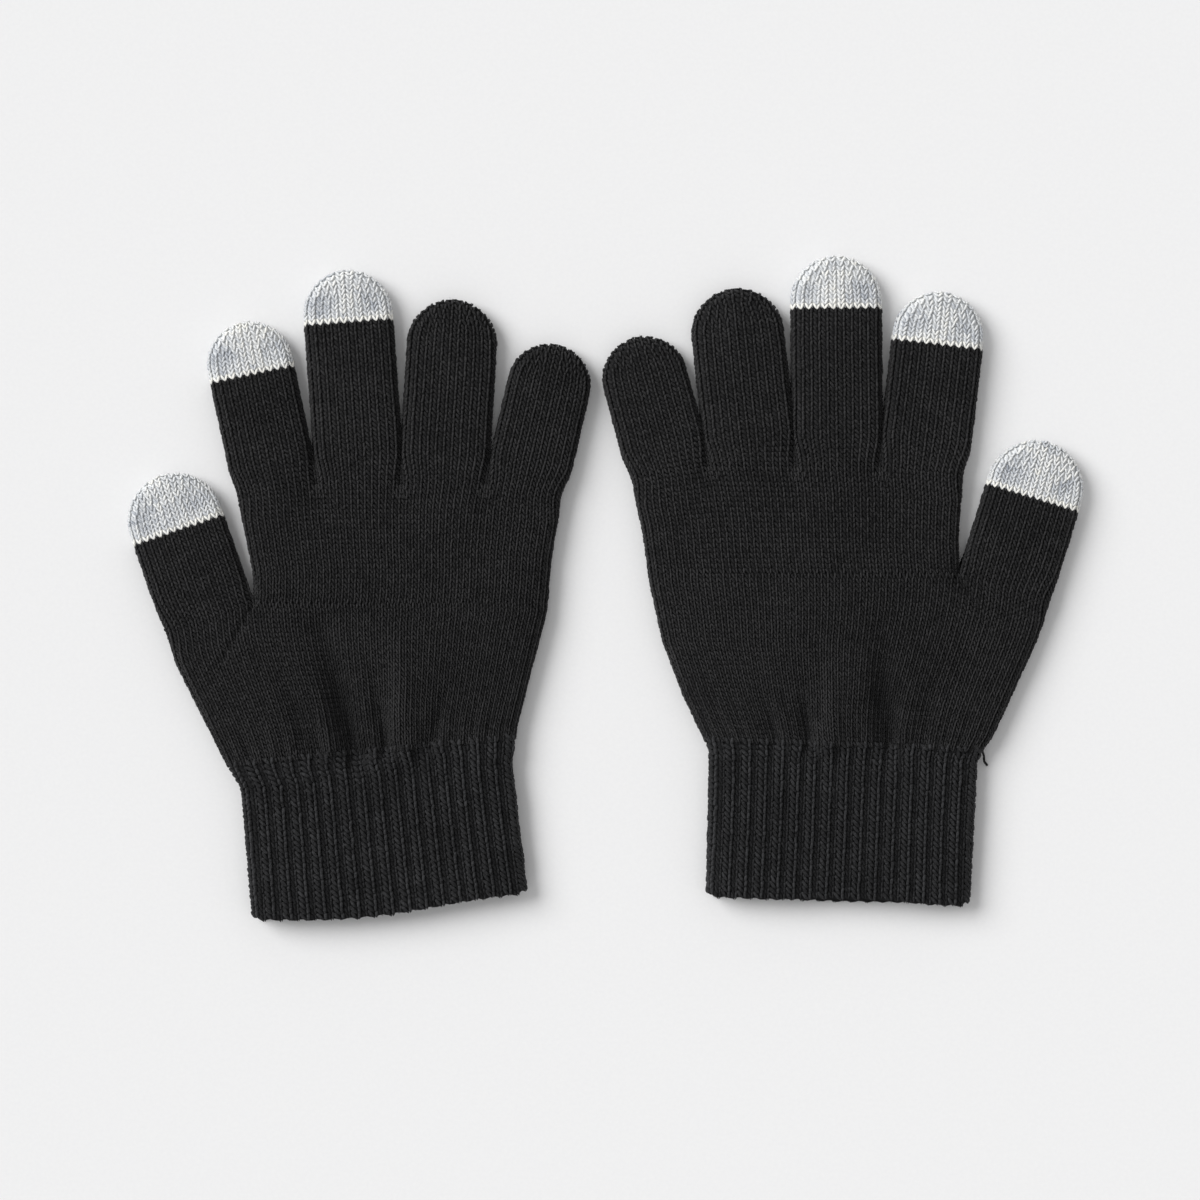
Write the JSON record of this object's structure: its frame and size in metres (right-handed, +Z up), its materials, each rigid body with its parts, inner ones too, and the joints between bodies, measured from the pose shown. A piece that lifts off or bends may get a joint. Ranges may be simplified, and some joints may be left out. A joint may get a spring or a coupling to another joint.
{
  "type": "touchscreen gloves",
  "caption": "Pair of knitted gloves laid flat with palms up, with ribbed cuffs and pale conductive fingertips on thumb, index and middle finger.",
  "frame": {"origin": "under the middle of the pair's footprint, on the surface that it lies on", "axes": "+X towards the right glove's thumb, +Y towards the fingertips, +Z up, out of the palms"},
  "size_m": [0.3132, 0.2183, 0.01],
  "materials": {
    "black_knit": "matt plain knitting in black acrylic yarn, slightly hairy",
    "rib_knit": "matt ribbed knitting in black acrylic yarn",
    "conductive_knit": "mottled pale grey plain knitting in conductive blended yarn",
    "elastic_thread": "black covered rubber thread"
  },
  "bodies": {
    "left_hand": {"left_hand": "black_knit"},
    "left_cuff": {"left_cuff": "rib_knit", "left_cuff_elastic": "elastic_thread"},
    "left_thumb_lower": {"left_thumb_lower": "black_knit"},
    "left_thumb_upper": {"left_thumb_upper": "black_knit", "left_thumb_tip": "conductive_knit"},
    "left_index_lower": {"left_index_lower": "black_knit"},
    "left_index_upper": {"left_index_upper": "black_knit", "left_index_tip": "conductive_knit"},
    "left_middle_lower": {"left_middle_lower": "black_knit"},
    "left_middle_upper": {"left_middle_upper": "black_knit", "left_middle_tip": "conductive_knit"},
    "left_ring_lower": {"left_ring_lower": "black_knit"},
    "left_ring_upper": {"left_ring_upper": "black_knit"},
    "left_little_lower": {"left_little_lower": "black_knit"},
    "left_little_upper": {"left_little_upper": "black_knit"},
    "right_hand": {"right_hand": "black_knit"},
    "right_cuff": {"right_cuff": "rib_knit", "right_cuff_elastic": "elastic_thread"},
    "right_thumb_lower": {"right_thumb_lower": "black_knit"},
    "right_thumb_upper": {"right_thumb_upper": "black_knit", "right_thumb_tip": "conductive_knit"},
    "right_index_lower": {"right_index_lower": "black_knit"},
    "right_index_upper": {"right_index_upper": "black_knit", "right_index_tip": "conductive_knit"},
    "right_middle_lower": {"right_middle_lower": "black_knit"},
    "right_middle_upper": {"right_middle_upper": "black_knit", "right_middle_tip": "conductive_knit"},
    "right_ring_lower": {"right_ring_lower": "black_knit"},
    "right_ring_upper": {"right_ring_upper": "black_knit"},
    "right_little_lower": {"right_little_lower": "black_knit"},
    "right_little_upper": {"right_little_upper": "black_knit"}
  },
  "joints": [
    {"name": "left_wrist", "type": "hinge", "parent": "left_hand", "child": "left_cuff", "pos_m": [-0.07576, -0.05364, 0.01], "axis": [-0.9952, -0.0976, 0], "range_deg": [0, 80]},
    {"name": "left_thumb_knuckle", "type": "hinge", "parent": "left_hand", "child": "left_thumb_lower", "pos_m": [-0.13236, -0.00287, 0.01], "axis": [0.9455, 0.3256, 0], "range_deg": [0, 60]},
    {"name": "left_thumb_bend", "type": "hinge", "parent": "left_thumb_lower", "child": "left_thumb_upper", "pos_m": [-0.13694, 0.01042, 0.01], "axis": [0.9455, 0.3256, 0], "range_deg": [0, 80]},
    {"name": "left_index_knuckle", "type": "hinge", "parent": "left_hand", "child": "left_index_lower", "pos_m": [-0.10966, 0.041, 0.01], "axis": [1, 0, 0], "range_deg": [0, 90]},
    {"name": "left_index_bend", "type": "hinge", "parent": "left_index_lower", "child": "left_index_upper", "pos_m": [-0.1141, 0.06187, 0.01], "axis": [0.9781, 0.2079, 0], "range_deg": [0, 100]},
    {"name": "left_middle_knuckle", "type": "hinge", "parent": "left_hand", "child": "left_middle_lower", "pos_m": [-0.08086, 0.041, 0.01], "axis": [1, 0, 0], "range_deg": [0, 90]},
    {"name": "left_middle_bend", "type": "hinge", "parent": "left_middle_lower", "child": "left_middle_upper", "pos_m": [-0.08296, 0.06958, 0.01], "axis": [0.9973, 0.0732, 0], "range_deg": [0, 100]},
    {"name": "left_ring_knuckle", "type": "hinge", "parent": "left_hand", "child": "left_ring_lower", "pos_m": [-0.05274, 0.041, 0.01], "axis": [1, 0, 0], "range_deg": [0, 90]},
    {"name": "left_ring_bend", "type": "hinge", "parent": "left_ring_lower", "child": "left_ring_upper", "pos_m": [-0.0513, 0.06525, 0.01], "axis": [0.9982, -0.0593, 0], "range_deg": [0, 100]},
    {"name": "left_little_knuckle", "type": "hinge", "parent": "left_hand", "child": "left_little_lower", "pos_m": [-0.02449, 0.041, 0.01], "axis": [1, 0, 0], "range_deg": [0, 90]},
    {"name": "left_little_bend", "type": "hinge", "parent": "left_little_lower", "child": "left_little_upper", "pos_m": [-0.02043, 0.05858, 0.01], "axis": [0.9744, -0.225, 0], "range_deg": [0, 100]},
    {"name": "right_glove_lift", "type": "slide", "parent": "left_hand", "child": "right_hand", "axis": [0, 0, 1], "range_m": [0, 0.1]},
    {"name": "right_wrist", "type": "hinge", "parent": "right_hand", "child": "right_cuff", "pos_m": [0.07787, -0.05163, 0.01], "axis": [-0.9994, 0.0349, 0], "range_deg": [0, 80]},
    {"name": "right_thumb_knuckle", "type": "hinge", "parent": "right_hand", "child": "right_thumb_lower", "pos_m": [0.13343, 0.00858, 0.01], "axis": [0.9563, -0.2924, 0], "range_deg": [0, 60]},
    {"name": "right_thumb_bend", "type": "hinge", "parent": "right_thumb_lower", "child": "right_thumb_upper", "pos_m": [0.13741, 0.02162, 0.01], "axis": [0.9563, -0.2924, 0], "range_deg": [0, 80]},
    {"name": "right_index_knuckle", "type": "hinge", "parent": "right_hand", "child": "right_index_lower", "pos_m": [0.10489, 0.0469, 0.01], "axis": [1, 0, 0], "range_deg": [0, 90]},
    {"name": "right_index_bend", "type": "hinge", "parent": "right_index_lower", "child": "right_index_upper", "pos_m": [0.10752, 0.06963, 0.01], "axis": [0.9934, -0.1149, 0], "range_deg": [0, 100]},
    {"name": "right_middle_knuckle", "type": "hinge", "parent": "right_hand", "child": "right_middle_lower", "pos_m": [0.076, 0.0469, 0.01], "axis": [1, 0, 0], "range_deg": [0, 90]},
    {"name": "right_middle_bend", "type": "hinge", "parent": "right_middle_lower", "child": "right_middle_upper", "pos_m": [0.07575, 0.07498, 0.01], "axis": [1, 0.0087, 0], "range_deg": [0, 100]},
    {"name": "right_ring_knuckle", "type": "hinge", "parent": "right_hand", "child": "right_ring_lower", "pos_m": [0.04746, 0.0469, 0.01], "axis": [1, 0, 0], "range_deg": [0, 90]},
    {"name": "right_ring_bend", "type": "hinge", "parent": "right_ring_lower", "child": "right_ring_upper", "pos_m": [0.04485, 0.07013, 0.01], "axis": [0.9938, 0.1115, 0], "range_deg": [0, 100]},
    {"name": "right_little_knuckle", "type": "hinge", "parent": "right_hand", "child": "right_little_lower", "pos_m": [0.01888, 0.0469, 0.01], "axis": [1, 0, 0], "range_deg": [0, 90]},
    {"name": "right_little_bend", "type": "hinge", "parent": "right_little_lower", "child": "right_little_upper", "pos_m": [0.0146, 0.06289, 0.01], "axis": [0.9659, 0.2588, 0], "range_deg": [0, 100]}
  ]
}
